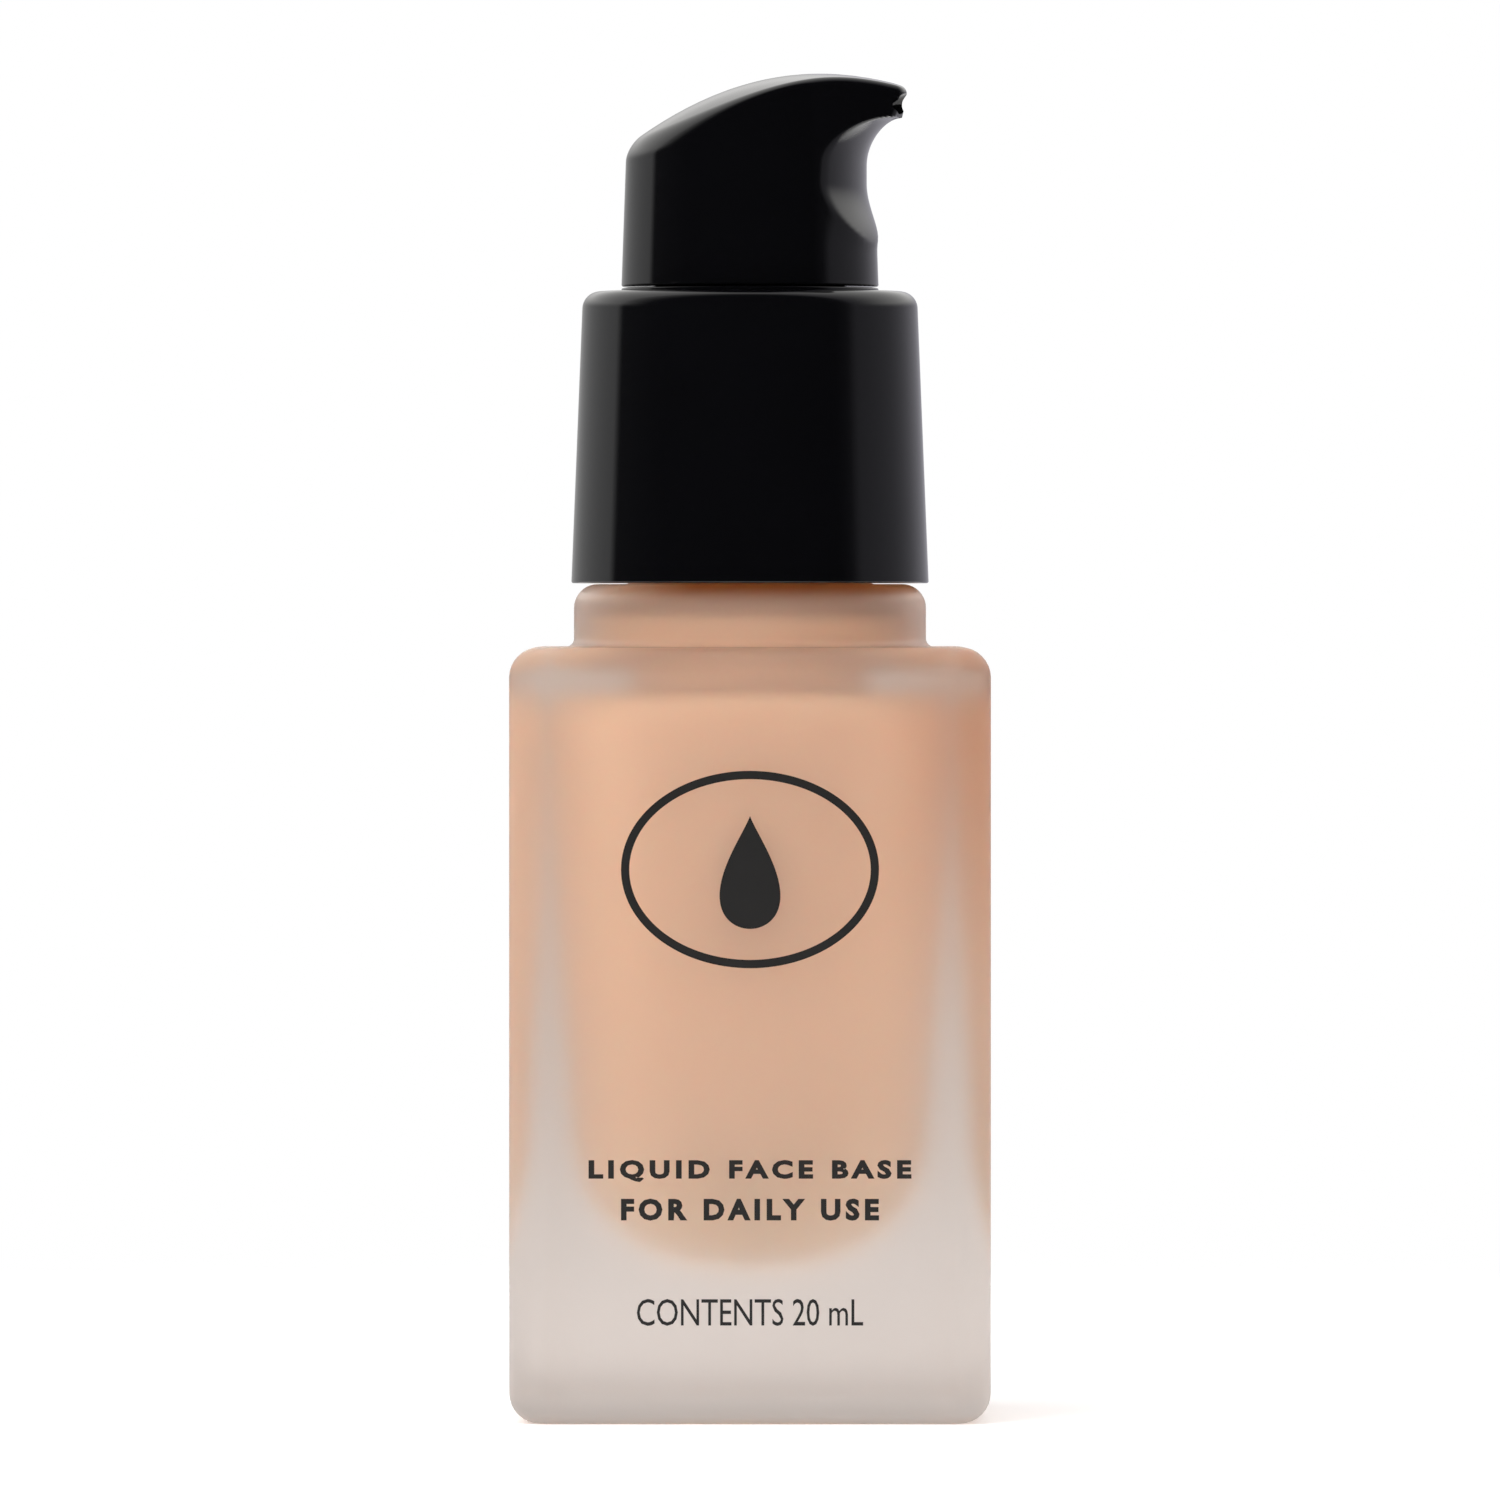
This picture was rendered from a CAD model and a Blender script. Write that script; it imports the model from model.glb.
"""Looks of a square frosted-glass foundation bottle with a glossy black treatment pump.

Every surface is worked out as a whole array of points from sizes in millimetres, measured up from
the flat base, with the axis of the bottle at x = y = 0 and the printed front facing -Y.
"""

import logging
import math
from dataclasses import dataclass
from enum import Enum
from typing import Any, Sequence

import bpy
import numpy as np
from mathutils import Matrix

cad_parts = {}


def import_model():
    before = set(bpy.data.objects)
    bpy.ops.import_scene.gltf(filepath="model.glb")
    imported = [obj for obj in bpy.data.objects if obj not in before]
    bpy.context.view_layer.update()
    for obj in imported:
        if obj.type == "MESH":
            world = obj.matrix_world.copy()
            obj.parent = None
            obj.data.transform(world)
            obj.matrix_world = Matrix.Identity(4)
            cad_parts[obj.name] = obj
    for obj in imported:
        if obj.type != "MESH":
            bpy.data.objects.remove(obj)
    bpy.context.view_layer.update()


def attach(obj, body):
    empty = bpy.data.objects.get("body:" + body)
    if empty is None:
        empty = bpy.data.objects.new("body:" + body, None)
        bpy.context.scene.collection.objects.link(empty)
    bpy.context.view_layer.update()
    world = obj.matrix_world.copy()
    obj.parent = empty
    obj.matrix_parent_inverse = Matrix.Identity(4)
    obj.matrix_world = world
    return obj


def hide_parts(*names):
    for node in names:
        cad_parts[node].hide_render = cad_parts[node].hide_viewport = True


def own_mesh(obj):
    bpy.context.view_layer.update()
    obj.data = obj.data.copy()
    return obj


LOG = logging.getLogger("bottle")
MM = 0.001
SMOOTH = {"interpolation_type": "SMOOTHSTEP"}

# The neck's thread, which the glass and the screw cap share, and a place left of everything, in mm.
THREAD_PITCH = 3.175
THREAD_START = 64.716
FAR_LEFT = -1000.0


class Body(Enum):
    """Moving bodies that pieces ride on."""

    BOTTLE = "bottle"
    PUMP = "pump_engine"
    CLOSURE = "closure"
    STEM = "stem"
    PISTON = "piston"
    BALL = "ball"
    HEAD = "head"


class Slot(Enum):
    """Material slots a piece takes its finish from."""

    GLASS = "frosted_glass"
    BLACK = "gloss_black"
    NATURAL = "natural_polypropylene"
    FOAM = "foam_seal"
    SOFT = "soft_polyethylene"
    CLEAR = "clear_polyethylene"
    STEEL = "steel"
    LIQUID = "foundation_liquid"
    INK = "black_ink"


class Ends(Enum):
    """How the rows of a skin are closed."""

    POLES = "poles"
    LOOP = "loop"


# ---- Materials ---------------------------------------------------------------------------------


def linear(colour: str) -> tuple[float, float, float, float]:
    """Turns an sRGB hex colour into linear RGBA.

    Args:
        colour: Six hex digits, with or without a leading hash.

    Returns:
        Red, green, blue and alpha, where c = ((s + 0.055) / 1.055) ** 2.4 above the toe.
    """
    text = colour.lstrip("#")
    shares = np.array([int(text[i:i + 2], 16) / 255 for i in (0, 2, 4)])
    toe = shares / 12.92
    curve = ((shares + 0.055) / 1.055) ** 2.4
    red, green, blue = np.where(shares <= 0.04045, toe, curve)
    return float(red), float(green), float(blue), 1.0


def add_node(tree: bpy.types.NodeTree, kind: str, settings: dict[str, Any] | None = None,
             **inputs: Any) -> bpy.types.Node:
    """Adds one shader node and fills its sockets.

    Args:
        tree: Node tree to add to.
        kind: Node type name.
        settings: Node properties, such as a blend type.
        inputs: Socket values, or output sockets to link, by socket name with _ for spaces, or by
            socket number after _.

    Returns:
        The new node.
    """
    made = tree.nodes.new(kind)
    for name, value in (settings or {}).items():
        setattr(made, name, value)
    for name, value in inputs.items():
        key = int(name[1:]) if name[1:].isdigit() else name.replace("_", " ")
        socket = made.inputs[key]
        if isinstance(value, bpy.types.NodeSocket):
            tree.links.new(value, socket)
        else:
            socket.default_value = value
    return made


@dataclass(frozen=True)
class Drift:
    """A colour that takes over with height and, if wanted, from left to right. Places in mm.

    Attributes:
        colour: The colour, sRGB hex.
        low: Height where it starts.
        high: Height where it is full.
        left: Place along X where it starts.
        right: Place along X where it is full.
    """

    colour: str
    low: float
    high: float
    left: float = FAR_LEFT - 1
    right: float = FAR_LEFT

    def over(self, tree: bpy.types.NodeTree, axes: bpy.types.Node, under: bpy.types.NodeSocket
             ) -> bpy.types.NodeSocket:
        """Lays the colour over another.

        Args:
            tree: Node tree to add to.
            axes: Node with X, Y and Z outputs, in metres.
            under: Colour that it covers.

        Returns:
            The mixed colour, whose share is smoothstep(z) smoothstep(x).
        """
        height = add_node(tree, "ShaderNodeMapRange", SMOOTH, Value=axes.outputs["Z"],
                          From_Min=self.low * MM, From_Max=self.high * MM)
        across = add_node(tree, "ShaderNodeMapRange", SMOOTH, Value=axes.outputs["X"],
                          From_Min=self.left * MM, From_Max=self.right * MM)
        share = add_node(tree, "ShaderNodeMath", {"operation": "MULTIPLY"}, _0=height.outputs["Result"],
                         _1=across.outputs["Result"])
        mixed = add_node(tree, "ShaderNodeMix", {"data_type": "RGBA"}, _0=share.outputs[0], _6=under,
                         _7=linear(self.colour))
        return mixed.outputs[2]


@dataclass(frozen=True)
class Finish:
    """One real material as a Principled shader with fine procedural relief.

    Attributes:
        name: Name of the real material.
        colour: Main colour, sRGB hex.
        shade: Second colour that large soft patches drift towards, sRGB hex.
        roughness: Surface roughness.
        ior: Index of refraction.
        grain: Size of the fine relief, mm.
        relief: Height of the fine relief, mm.
        patch: Size of the soft patches, mm.
        metallic: 1 for metal.
        transmission: Share of light let through as glass.
        scatter: Share of light that scatters under the surface.
        scatter_depth: Depth of that scatter, mm.
        drifts: Colours laid over the first two.
    """

    name: str
    colour: str
    shade: str
    roughness: float
    ior: float = 1.5
    grain: float = 0.3
    relief: float = 0.001
    patch: float = 6.0
    metallic: float = 0.0
    transmission: float = 0.0
    scatter: float = 0.0
    scatter_depth: float = 1.0
    drifts: tuple[Drift, ...] = ()

    def build(self) -> bpy.types.Material:
        """Builds the material.

        Returns:
            A material whose colour drifts between two tones and whose relief is fine noise,
            both in object coordinates.
        """
        material = bpy.data.materials.new(self.name)
        material.use_nodes = True
        tree = material.node_tree
        shader = tree.nodes["Principled BSDF"]
        place = add_node(tree, "ShaderNodeTexCoord").outputs["Object"]
        patches = add_node(tree, "ShaderNodeTexNoise", Vector=place, Scale=1 / (self.patch * MM),
                           Detail=3.0, Roughness=0.5).outputs["Fac"]
        tones = add_node(tree, "ShaderNodeMix", {"data_type": "RGBA"}, _0=patches, _6=linear(self.colour),
                         _7=linear(self.shade))
        colour = tones.outputs[2]
        axes = add_node(tree, "ShaderNodeSeparateXYZ", Vector=place)
        for drift in self.drifts:
            colour = drift.over(tree, axes, colour)
        tree.links.new(colour, shader.inputs["Base Color"])
        fine = add_node(tree, "ShaderNodeTexNoise", Vector=place, Scale=1 / (self.grain * MM),
                        Detail=4.0, Roughness=0.6).outputs["Fac"]
        bump = add_node(tree, "ShaderNodeBump", Strength=1.0, Distance=self.relief * MM, Height=fine)
        tree.links.new(bump.outputs["Normal"], shader.inputs["Normal"])
        shader.inputs["Roughness"].default_value = self.roughness
        shader.inputs["IOR"].default_value = self.ior
        shader.inputs["Metallic"].default_value = self.metallic
        shader.inputs["Transmission Weight"].default_value = self.transmission
        shader.inputs["Subsurface Weight"].default_value = self.scatter
        shader.inputs["Subsurface Radius"].default_value = (1.0, 0.6, 0.4)
        shader.inputs["Subsurface Scale"].default_value = self.scatter_depth * MM
        return material


# Soda-lime glass, acid frosted outside: a fine silky grain that blurs what is behind it.
# The liquid behind it warms the upper walls, most on the right, and the shade of the collar browns
# the top of the ring.
FROSTED_GLASS = Finish("Acid-frosted soda-lime glass", "#E2D8D2", "#DED4CD", roughness=0.42, ior=1.5,
                       grain=0.16, relief=0.004, patch=9.0, transmission=0.9,
                       drifts=(Drift("#EADACF", 12.0, 40.0), Drift("#DCBBA8", 26.0, 52.0, 8.0, 17.0),
                               Drift("#9C5C2C", 59.2, 60.9, -12.0, -4.0), Drift("#E6DBD5", 61.0, 61.3)))
# Polypropylene, injection moulded and lacquered black: nearly a mirror, with faint mould flow.
GLOSS_BLACK = Finish("Black lacquered polypropylene", "#040405", "#060608", roughness=0.08, ior=1.49,
                     grain=7.0, relief=0.004, patch=12.0)
# Natural polypropylene of the pump: milky and a little translucent.
NATURAL_PP = Finish("Natural polypropylene", "#B4B1A9", "#ABA79E", roughness=0.36, grain=0.4,
                    relief=0.002, scatter=0.3, scatter_depth=0.6)
# Foamed polyethylene of the neck seal: soft with open-cell pits.
FOAM_PE = Finish("Foamed polyethylene", "#BDBAB2", "#B1AEA5", roughness=0.85, grain=0.25, relief=0.03,
                 scatter=0.2, scatter_depth=0.5)
# Low-density polyethylene of the piston: waxy.
SOFT_PE = Finish("Low-density polyethylene", "#BFBDB7", "#B5B2AB", roughness=0.5, grain=0.5,
                 relief=0.003, scatter=0.35, scatter_depth=0.7)
# Low-density polyethylene of the suction tube: hazy.
TUBE_PE = Finish("Extruded polyethylene tube", "#A9A8A3", "#A09E98", roughness=0.38, grain=0.6,
                 relief=0.002, scatter=0.25, scatter_depth=0.4)
# Stainless steel 302 wire and ball: drawn, with faint die marks.
STEEL = Finish("Stainless steel", "#B9BCC0", "#A3A6AB", roughness=0.24, grain=0.15, relief=0.0015,
               patch=2.0, metallic=1.0)
# Liquid foundation: an opaque pigment emulsion with a soft sheen.
FOUNDATION = Finish("Liquid foundation emulsion", "#FAD2B0", "#F7CCA8", roughness=0.3, ior=1.42,
                    grain=2.5, relief=0.01, patch=16.0, scatter=0.5, scatter_depth=2.5,
                    drifts=(Drift("#FFD9B8", 24.0, 13.0),))
# Ceramic screen ink fired on the glass: matt, with the mesh's slight texture.
CERAMIC_INK = Finish("Black ceramic screen ink", "#0E0C0B", "#141110", roughness=0.55, grain=0.12,
                     relief=0.004, patch=3.0)


# ---- Surfaces ----------------------------------------------------------------------------------


@dataclass
class Skin:
    """A closed surface held as rows of points, each row going round counter-clockwise.

    Attributes:
        points: Array of rows x columns x 3, in mm.
        ends: Whether the first and last rows close on a middle point, or on each other.
        crease: Angle over which an edge stays sharp, degrees.
    """

    points: np.ndarray
    ends: Ends
    crease: float = 38.0

    def faces(self) -> tuple[np.ndarray, np.ndarray]:
        """Indexes the faces of the grid.

        Returns:
            Quads as n x 4 and triangles as m x 3 point numbers. Quad (i, j) joins
            (i, j), (i, j+1), (i+1, j+1) and (i+1, j), with j + 1 wrapped round the row.
        """
        rows, columns = self.points.shape[:2]
        loop = self.ends is Ends.LOOP
        i = np.arange(rows if loop else rows - 1)[:, None]
        j = np.arange(columns)[None, :]
        right = (j + 1) % columns
        up = (i + 1) % rows
        quads = np.stack([i * columns + j, i * columns + right, up * columns + right, up * columns + j], -1)
        if loop:
            return quads.reshape(-1, 4), np.zeros((0, 3), int)
        ring = np.arange(columns)
        after = (ring + 1) % columns
        first = np.full(columns, rows * columns)
        top = (rows - 1) * columns
        fans = np.vstack([
            np.stack([first, after, ring], -1),
            np.stack([first + 1, top + ring, top + after], -1),
        ])
        return quads.reshape(-1, 4), fans

    def mesh(self, name: str) -> bpy.types.Mesh:
        """Builds the mesh in metres.

        Args:
            name: Name of the mesh.

        Returns:
            A smooth-shaded mesh with sharp edges where its faces turn past the crease angle.
        """
        points = self.points.reshape(-1, 3)
        if self.ends is Ends.POLES:
            points = np.vstack([points, self.points[0].mean(0), self.points[-1].mean(0)])
        quads, fans = self.faces()
        corners = np.concatenate([quads.ravel(), fans.ravel()])
        starts = np.concatenate([np.arange(len(quads)) * 4, 4 * len(quads) + np.arange(len(fans)) * 3])
        made = bpy.data.meshes.new(name)
        made.vertices.add(len(points))
        made.vertices.foreach_set("co", (points * MM).astype(np.float32).ravel())
        made.loops.add(len(corners))
        made.loops.foreach_set("vertex_index", corners.astype(np.int32))
        made.polygons.add(len(starts))
        made.polygons.foreach_set("loop_start", starts.astype(np.int32))
        made.polygons.foreach_set("use_smooth", np.ones(len(starts), bool))
        made.update(calc_edges=True)
        made.set_sharp_from_angle(angle=math.radians(self.crease))
        return made


def smoothstep(value: np.ndarray, start: float, end: float) -> np.ndarray:
    """Eases from 0 to 1.

    Args:
        value: Values to ease.
        start: Where it is 0.
        end: Where it is 1.

    Returns:
        t * t * (3 - 2 t), with t the clamped share of the way from start to end.
    """
    share = np.clip((value - start) / (end - start), 0, 1)
    return share * share * (3 - 2 * share)


def turn_angles(columns: int) -> np.ndarray:
    """Angles of evenly spaced columns round the axis.

    Args:
        columns: How many.

    Returns:
        2 pi j / columns.
    """
    return 2 * np.pi * np.arange(columns) / columns


def filleted(corners: Sequence[tuple[float, float, float]], steps: int = 7) -> np.ndarray:
    """Rounds the corners of a profile and adds a support point beside each rounding.

    With u and v the unit directions from corner C to its neighbours and w = sin(half the angle
    between them), the rounding is p(t) = (A (1-t)^2 + 2 w C t (1-t) + B t^2) / ((1-t)^2 +
    2 w t (1-t) + t^2), where A = C + d u, B = C + d v and d = radius / tan(half angle): a true arc.

    Args:
        corners: Radius, height and rounding radius of each corner, in mm, in order.
        steps: Segments in each arc.

    Returns:
        Points as n x 2.
    """
    data = np.array(corners, float)
    here = data[:, :2]
    back = np.roll(here, 1, 0) - here
    ahead = np.roll(here, -1, 0) - here
    back_length = np.maximum(np.linalg.norm(back, axis=1), 1e-9)
    ahead_length = np.maximum(np.linalg.norm(ahead, axis=1), 1e-9)
    u = back / back_length[:, None]
    v = ahead / ahead_length[:, None]
    half = np.arccos(np.clip((u * v).sum(1), -0.99999, 0.99999)) / 2
    reach = np.minimum(data[:, 2] / np.tan(half), 0.46 * np.minimum(back_length, ahead_length))
    t = np.linspace(0, 1, steps + 1)[None, :, None]
    weight = np.sin(half)[:, None, None]
    first = (here + u * reach[:, None])[:, None, :]
    last = (here + v * reach[:, None])[:, None, :]
    middle = here[:, None, :]
    arcs = (first * (1 - t) ** 2 + 2 * weight * middle * t * (1 - t) + last * t ** 2) / (
        (1 - t) ** 2 + 2 * weight * t * (1 - t) + t ** 2)
    room = np.minimum(0.25 * reach, 0.04 * np.minimum(back_length, ahead_length))[:, None, None]
    points = np.concatenate([first + u[:, None, :] * room, arcs, last + v[:, None, :] * room], 1)
    keep = np.repeat((data[:, 2] > 0)[:, None], points.shape[1], 1)
    keep[:, 0] = True
    return points[keep]


def turned(profile: np.ndarray, ends: Ends, columns: int = 96) -> Skin:
    """Turns a profile about the axis.

    Args:
        profile: Radius and height of each point, n x 2, going up the outside.
        ends: How the profile is closed.
        columns: Columns round the axis.

    Returns:
        The skin (r cos a, r sin a, z).
    """
    angle = turn_angles(columns)[None, :]
    radius, height = profile[:, :1], profile[:, 1:]
    points = np.stack([radius * np.cos(angle), radius * np.sin(angle), height + 0 * angle], -1)
    return Skin(points, ends)


def arc(centre: tuple[float, float], radius: float, start: float, end: float, steps: int,
        rise: float | None = None) -> np.ndarray:
    """Points of an arc or a quarter ellipse in a profile.

    Args:
        centre: Its middle.
        radius: Half width.
        start: First angle, degrees.
        end: Last angle, degrees.
        steps: Segments.
        rise: Half height, the radius if left out.

    Returns:
        Points (cr + radius cos a, cz + rise sin a).
    """
    angle = np.radians(np.linspace(start, end, steps + 1))
    tall = radius if rise is None else rise
    return np.stack([centre[0] + radius * np.cos(angle), centre[1] + tall * np.sin(angle)], -1)


def carried(path: np.ndarray, width: float, sides: int = 12) -> Skin:
    """Carries a round section along an open path that winds about the axis.

    Args:
        path: Middle line, n x 3, in mm.
        width: Diameter of the section.
        sides: Points round the section.

    Returns:
        The skin p(s) + w/2 (cos a e(s) + sin a n(s)), with e the outward radial direction made
        square to the tangent, and n square to both.
    """
    tangent = np.gradient(path, axis=0)
    tangent /= np.linalg.norm(tangent, axis=1)[:, None]
    outward = path * [1, 1, 0]
    outward = outward - (outward * tangent).sum(1)[:, None] * tangent
    outward /= np.linalg.norm(outward, axis=1)[:, None]
    across = np.cross(tangent, outward)
    angle = turn_angles(sides)
    cosine, sine = np.cos(angle)[None, :, None], np.sin(angle)[None, :, None]
    ring = cosine * outward[:, None, :] + sine * across[:, None, :]
    return Skin(path[:, None, :] + width / 2 * ring, Ends.POLES, crease=60.0)


def place(mesh: bpy.types.Mesh, finish: Finish, body: Body, slot: Slot,
          replaces: Sequence[str] = ()) -> bpy.types.Object:
    """Puts a finished mesh in the frame.

    Args:
        mesh: Mesh in metres, in the shared frame.
        finish: Its material.
        body: Body it rides on.
        slot: Material slot.
        replaces: Modelled nodes it stands for.

    Returns:
        The new object, at the origin.
    """
    thing = bpy.data.objects.new(mesh.name, mesh)
    bpy.context.scene.collection.objects.link(thing)
    found = bpy.data.materials.get(finish.name)
    mesh.materials.append(found if found else finish.build())
    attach(thing, body.value)
    if replaces:
        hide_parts(*replaces)
    LOG.info("%s: %d faces, rides on %s", mesh.name, len(mesh.polygons), body.value)
    return thing


@dataclass(frozen=True)
class Thread:
    """A helical ridge of trapezoid section on a round wall.

    Attributes:
        start: Height of its first end, mm.
        pitch: Rise in one turn.
        turns: How many turns.
        root_width: Width at the wall.
        crest_width: Width at the crest.
        fade: Turns over which its ends grow.
    """

    start: float = THREAD_START
    pitch: float = THREAD_PITCH
    turns: float = 1.25
    root_width: float = 1.9
    crest_width: float = 0.7
    fade: float = 0.15

    def share(self, angle: np.ndarray, height: np.ndarray) -> np.ndarray:
        """How much of the ridge's full depth stands at each point.

        Args:
            angle: Angle about the axis, 0 to 2 pi.
            height: Height, mm.

        Returns:
            The larger, over the first and second passes k, of the trapezoid's share at the
            distance |z - start - pitch (angle / 2 pi + k)|, faded towards both ends.
        """
        passes = np.array([0.0, 1.0]).reshape(2, *([1] * max(angle.ndim, height.ndim)))
        turn = angle / (2 * np.pi) + passes
        away = np.abs(height - self.start - self.pitch * turn)
        flank = (self.root_width - self.crest_width) / 2
        ridge = np.clip((self.root_width / 2 - away) / flank, 0, 1)
        grown = np.clip(np.minimum(turn, self.turns - turn) / self.fade, 0, 1)
        return (ridge * ridge * (3 - 2 * ridge) * grown).max(0)


# ---- Glass, liquid and print -------------------------------------------------------------------


@dataclass
class GlassBottle:
    """The square bottle and its filling. Sizes in mm."""

    width: float = 35.0
    height: float = 56.4
    corner: float = 3.0
    edge: float = 2.2
    ring_radius: float = 12.94
    ring_top: float = 61.0
    ring_edge: float = 1.75
    ring_root: float = 0.6
    finish_radius: float = 8.75
    thread_depth: float = 0.95
    lip_top: float = 71.2
    bore: float = 6.5
    bore_fillet: float = 1.2
    well: float = 8.6
    well_low: float = 58.6
    well_top: float = 60.4
    cavity_top: float = 53.1
    cavity_radius: float = 15.1
    cavity_shoulder: float = 2.2
    cavity_foot: float = 13.0
    cavity_floor: float = 10.8
    floor_rise: float = 10.6
    floor_squareness: float = 2.35
    fill_level: float = 66.0
    fill_overlap: float = 0.02
    pump_room: float = 4.95
    pump_cone_top: float = 54.0
    pump_foot: float = 3.0
    pump_cone_bottom: float = 52.6
    pump_room_floor: float = 50.4
    columns: int = 320

    def angles(self) -> np.ndarray:
        """Column angles, closer together at the four corners.

        Returns:
            phi + 0.175 sin(4 phi), which is densest where cos(4 phi) = -1.
        """
        even = turn_angles(self.columns)
        return even + 0.175 * np.sin(4 * even)

    def outline(self, angle: np.ndarray, inset: np.ndarray) -> np.ndarray:
        """Radius of the rounded square, drawn in all round.

        Args:
            angle: Angles about the axis.
            inset: How far the outline is drawn in, mm.

        Returns:
            half / cos(a) on a flat side and d cos(b) + sqrt(c^2 - d^2 sin^2 b) on a corner, where a is
            measured from the side's middle, b = 45 deg - a, c is the corner radius and d its middle's
            distance.
        """
        half = self.width / 2 - inset
        corner = np.maximum(self.corner - inset, 0.3)
        off = np.abs((angle + np.pi / 4) % (np.pi / 2) - np.pi / 4)
        middle = (half - corner) * math.sqrt(2)
        lean = np.pi / 4 - off
        on_side = half * np.tan(off) <= half - corner
        inside = np.maximum(corner ** 2 - (middle * np.sin(lean)) ** 2, 0)
        round_part = middle * np.cos(lean) + np.sqrt(inside)
        return np.where(on_side, half / np.cos(off), round_part)

    def cavity_profile(self, grow: float) -> np.ndarray:
        """Inner wall from the middle of the floor up to the bore, with a well inside the ring.

        Args:
            grow: Distance it is moved into the glass, mm.

        Returns:
            Points going up: floor on the curve |r/R|^n + |z/h|^n = 1, tapered wall, rounded shoulder,
            fillet, well and bore.
        """
        turn = np.radians(np.linspace(2.0, 90, 34))
        power = 2 / self.floor_squareness
        wall_foot = self.cavity_floor + self.floor_rise
        floor = np.stack([(self.cavity_foot + grow) * np.sin(turn) ** power,
                          wall_foot - (self.floor_rise + grow) * np.cos(turn) ** power], -1)
        wall_top = self.cavity_top - self.cavity_shoulder
        share = np.linspace(0.04, 0.96, 10)[:, None]
        low, high = [self.cavity_foot + grow, wall_foot], [self.cavity_radius + grow, wall_top]
        wall = (1 - share) * low + share * high
        shoulder = arc((self.cavity_radius - self.cavity_shoulder, wall_top),
                       self.cavity_shoulder + grow, 0, 90, 10)
        fillet = arc((self.well + self.bore_fillet, self.cavity_top + self.bore_fillet),
                     self.bore_fillet - grow, -90, -180, 8)
        well = filleted([
            (self.well + grow, self.cavity_top + 2, 0.0), (self.well + grow, self.well_low, 1.0),
            (self.bore + grow, self.well_top, 0.8), (self.bore + grow, self.well_top + 1.6, 0.0)], 6)
        return np.vstack([floor, wall, shoulder, fillet, well])

    def glass(self) -> Skin:
        """The bottle's skin: base, square body, shoulder, ring, threaded finish, bore and cavity.

        Returns:
            One closed skin whose rows go from the middle of the base round to the cavity's floor.
        """
        angle = self.angles()[None, :]
        half_turn = np.radians(np.linspace(0, 90, 9))[:, None]
        base = self.outline(angle, np.full((3, 1), self.edge)) * np.array([[0.4], [0.8], [0.97]])
        low_inset = self.edge * (1 - np.sin(half_turn))
        low = self.outline(angle, low_inset)
        side_z = np.concatenate([[2.5, 3.4], np.linspace(8, 50, 6), [53.0, 53.9]])[:, None]
        side = self.outline(angle, 0 * side_z)
        high_inset = self.edge * (1 - np.cos(half_turn))
        high = self.outline(angle, high_inset)
        root = self.ring_radius + self.ring_root
        share = np.array([0.03, 0.2, 0.4, 0.6, 0.8, 0.97])[:, None]
        shoulder = (1 - share) * self.outline(angle, np.array([[self.edge]])) + share * root
        square_radius = np.vstack([base, low, side, high, shoulder])
        square_height = np.vstack([
            np.zeros((3, 1)), self.edge * (1 - np.cos(half_turn)), side_z,
            self.height - self.edge * (1 - np.sin(half_turn)), np.full((6, 1), self.height)])
        ring_flat = self.ring_radius - self.ring_edge
        ring_side = self.ring_top - self.ring_edge
        ring = np.vstack([
            arc((root, self.height + self.ring_root), self.ring_root, -90, -180, 6),
            [[self.ring_radius, self.height + 0.9], [self.ring_radius, ring_side - 0.2]],
            arc((ring_flat, ring_side), self.ring_edge, 0, 90, 10),
            [[ring_flat - 0.3, self.ring_top], [self.finish_radius + 0.5, self.ring_top]],
            arc((self.finish_radius + 0.4, self.ring_top + 0.4), 0.4, -90, -180, 4)])
        finish_z = np.linspace(self.ring_top + 0.6, self.lip_top - 0.5, 48)[:, None]
        finish = np.hstack([np.full_like(finish_z, self.finish_radius), finish_z])
        lip = np.vstack([
            arc((self.finish_radius - 0.4, self.lip_top - 0.4), 0.4, 0, 90, 5),
            arc((self.bore + 0.4, self.lip_top - 0.4), 0.4, 90, 180, 5),
            [[self.bore, self.lip_top - 0.8], [self.bore, 64.0]]])
        inside = self.cavity_profile(0.0)[::-1]
        profile = np.vstack([ring, finish, lip, inside])
        turns = angle % (2 * np.pi)
        thread = Thread().share(turns, finish_z) * self.thread_depth
        radius = profile[:, :1] + 0 * angle
        radius[len(ring):len(ring) + len(finish)] += thread
        radius = np.vstack([square_radius, radius])
        height = np.vstack([square_height, profile[:, 1:]]) + 0 * angle
        points = np.stack([radius * np.cos(angle), radius * np.sin(angle), height], -1)
        return Skin(points, Ends.POLES, crease=60.0)

    def filling(self) -> Skin:
        """The liquid, which wets the glass, stands in the bore and leaves room for the pump's barrel.

        Returns:
            One closed skin from the middle of the floor up the wall, over a small meniscus and down
            round the barrel.
        """
        bore = self.bore + self.fill_overlap
        top = filleted([
            (bore, self.fill_level - 1.5, 0.0), (bore, self.fill_level, 0.02),
            (bore - 0.3, self.fill_level - 0.4, 0.4), (self.pump_room, self.fill_level - 0.45, 0.3),
            (self.pump_room, self.pump_cone_top, 0.4), (self.pump_foot, self.pump_cone_bottom, 0.3),
            (self.pump_foot, self.pump_room_floor, 0.3), (0.2, self.pump_room_floor, 0.0)], 4)
        return turned(np.vstack([self.cavity_profile(self.fill_overlap), top]), Ends.POLES, 192)

    def build(self) -> None:
        """Places the glass and its filling."""
        place(self.glass().mesh("glass_body"), FROSTED_GLASS, Body.BOTTLE, Slot.GLASS, ["bottle"])
        place(self.filling().mesh("foundation_fill"), FOUNDATION, Body.BOTTLE, Slot.LIQUID)


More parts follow.
